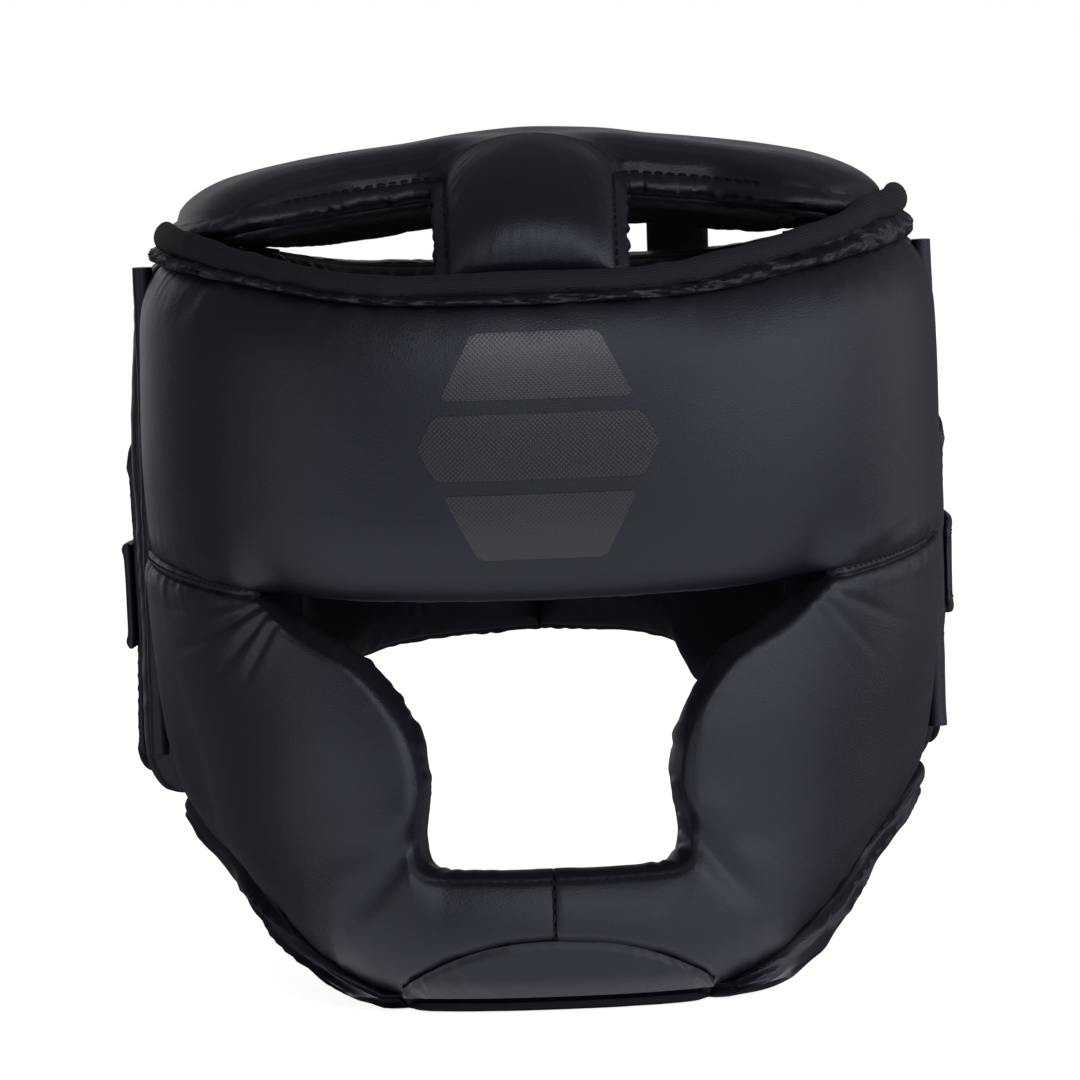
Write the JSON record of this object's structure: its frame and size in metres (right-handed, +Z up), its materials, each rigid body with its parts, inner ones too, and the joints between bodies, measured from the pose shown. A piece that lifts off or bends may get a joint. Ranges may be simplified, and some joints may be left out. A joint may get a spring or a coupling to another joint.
{
  "type": "boxing headgear",
  "caption": "Padded full-face boxing headgear with forehead band, cheek and chin guard, crown pad with tongue, ear panels and a rear wing that opens with a strap.",
  "frame": {"origin": "centre of the footprint of the headgear as worn upright, at the underside of the chin binding", "axes": "+Z up as worn, the face opening looks along -Y, +X to the wearer's left"},
  "size_m": [0.2369, 0.26, 0.2404],
  "materials": {
    "leather": "matte black grained artificial leather",
    "foam": "closed-cell foam",
    "lining": "smooth soft artificial leather",
    "knit_binding": "ribbed knit tape",
    "print": "semi-gloss woven-look transfer print",
    "hook_tape": "nylon hooks",
    "loop_tape": "napped loops"
  },
  "bodies": {
    "shell": {"brow_binding": "knit_binding", "brow_gather": "leather", "chin_binding": "knit_binding", "chin_panel": "leather", "chin_strap_anchor": "leather", "chin_strap_loop": "loop_tape", "crown_cover": "leather", "crown_foam": "foam", "crown_lining": "lining", "emblem_high": "print", "emblem_low": "print", "emblem_middle": "print", "forehead_cover": "leather", "forehead_foam": "foam", "forehead_lining": "lining", "left_cheek_foam": "foam", "left_chin_foam": "foam", "left_face_cover": "leather", "left_face_lining": "lining", "left_flap": "leather", "left_jaw_gather": "leather", "left_side_cover": "leather", "left_side_foam": "foam", "left_side_lining": "lining", "left_wing_cover": "leather", "left_wing_foam": "foam", "left_wing_lining": "lining", "right_cheek_foam": "foam", "right_chin_foam": "foam", "right_face_cover": "leather", "right_face_lining": "lining", "right_jaw_gather": "leather", "strap_loop": "loop_tape", "tab_loop": "loop_tape", "tongue_cover": "leather", "tongue_foam": "foam", "tongue_lining": "lining"},
    "right_rear": {"right_side_cover": "leather", "right_side_foam": "foam", "right_side_lining": "lining", "right_wing_cover": "leather", "right_wing_foam": "foam", "right_wing_lining": "lining", "right_flap": "leather", "strap_base": "leather"},
    "strap": {"strap_tail": "leather", "strap_hook": "hook_tape"},
    "crown_tab": {"crown_tab": "leather", "tab_hook": "hook_tape"},
    "chin_strap": {"chin_strap": "leather", "chin_strap_hook": "hook_tape"}
  },
  "joints": [
    {"name": "right_rear_opening", "type": "hinge", "parent": "shell", "child": "right_rear", "pos_m": [-0.11, -0.0055, 0.12], "axis": [0, 0, 1], "range_deg": [0, 40]},
    {"name": "strap_peel", "type": "hinge", "parent": "right_rear", "child": "strap", "pos_m": [-0.0222, 0.1296, 0.107], "axis": [0, 0, 1], "range_deg": [0, 120]},
    {"name": "crown_tab_peel", "type": "hinge", "parent": "shell", "child": "crown_tab", "pos_m": [0.043, 0.0762, 0.2136], "axis": [1, 0, 0], "range_deg": [0, 80]},
    {"name": "chin_strap_peel", "type": "hinge", "parent": "shell", "child": "chin_strap", "pos_m": [-0.0248, -0.0846, 0.024], "axis": [0, 0, 1], "range_deg": [0, 60]}
  ]
}
